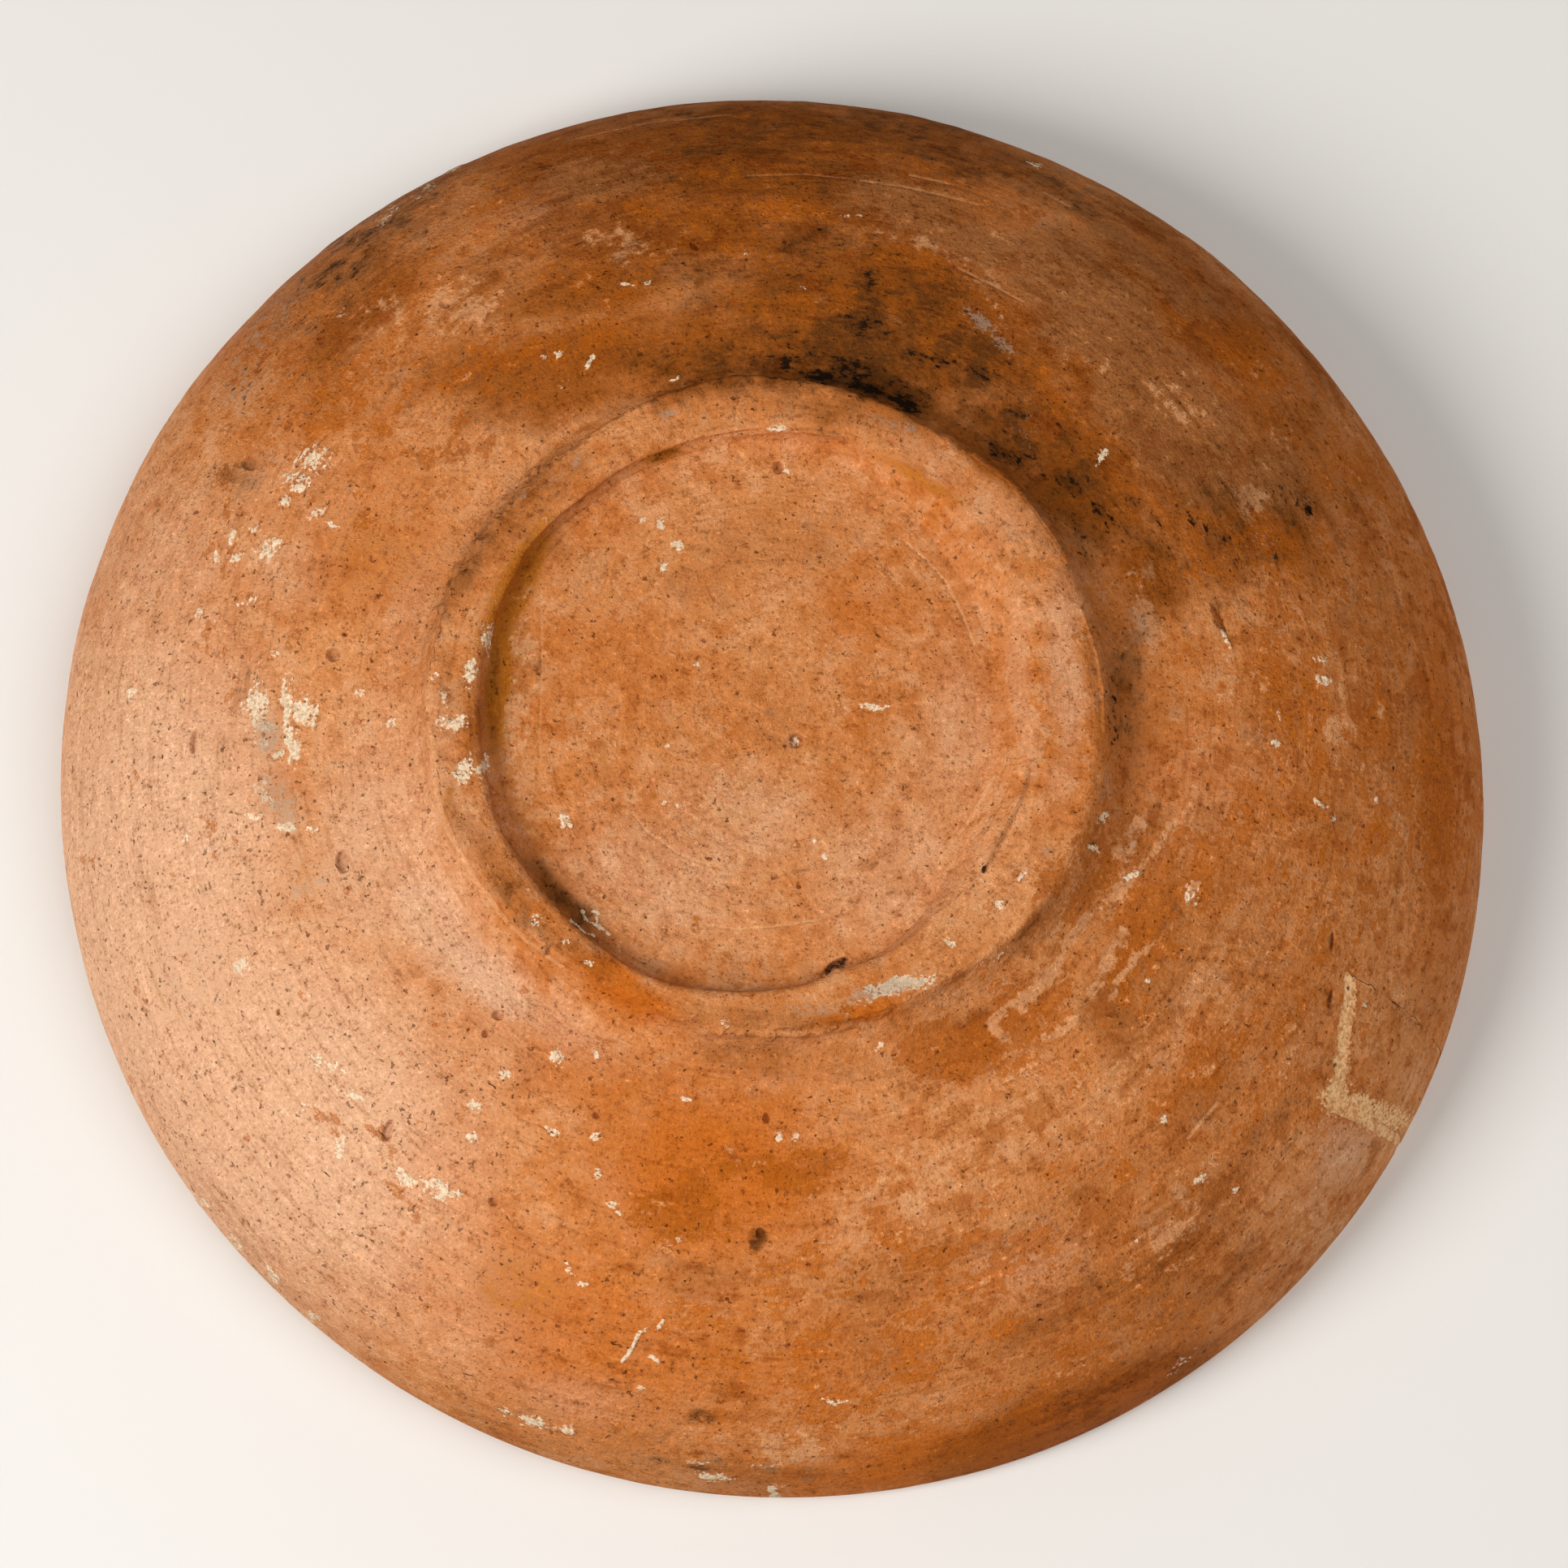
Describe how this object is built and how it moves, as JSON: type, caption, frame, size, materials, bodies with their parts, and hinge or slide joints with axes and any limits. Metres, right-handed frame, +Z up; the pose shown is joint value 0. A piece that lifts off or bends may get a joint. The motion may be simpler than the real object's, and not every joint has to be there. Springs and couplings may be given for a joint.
{
  "type": "footed plate",
  "caption": "Round deep terracotta plate with a curved wall, a rounded lip, an applied foot ring that it stands on and a mended break in the rim.",
  "frame": {"origin": "middle of the foot ring's standing face, on the surface that the plate stands on", "axes": "+Z up out of the dish's opening; seen from below with +X to the right, +Y points down and the mend lies at the lower right"},
  "size_m": [0.219, 0.221, 0.05],
  "materials": {
    "terracotta": "unglazed, matt, with worn brown-orange slip",
    "foot_terracotta": "unglazed, matt, worn",
    "slip": "dried and fired clay slip",
    "fill": "rough cream plaster"
  },
  "bodies": {
    "root": {"dish": "terracotta", "foot_ring": "foot_terracotta", "luting_slip": "slip", "rim_sherd": "terracotta", "joint_fill": "fill"}
  },
  "joints": []
}
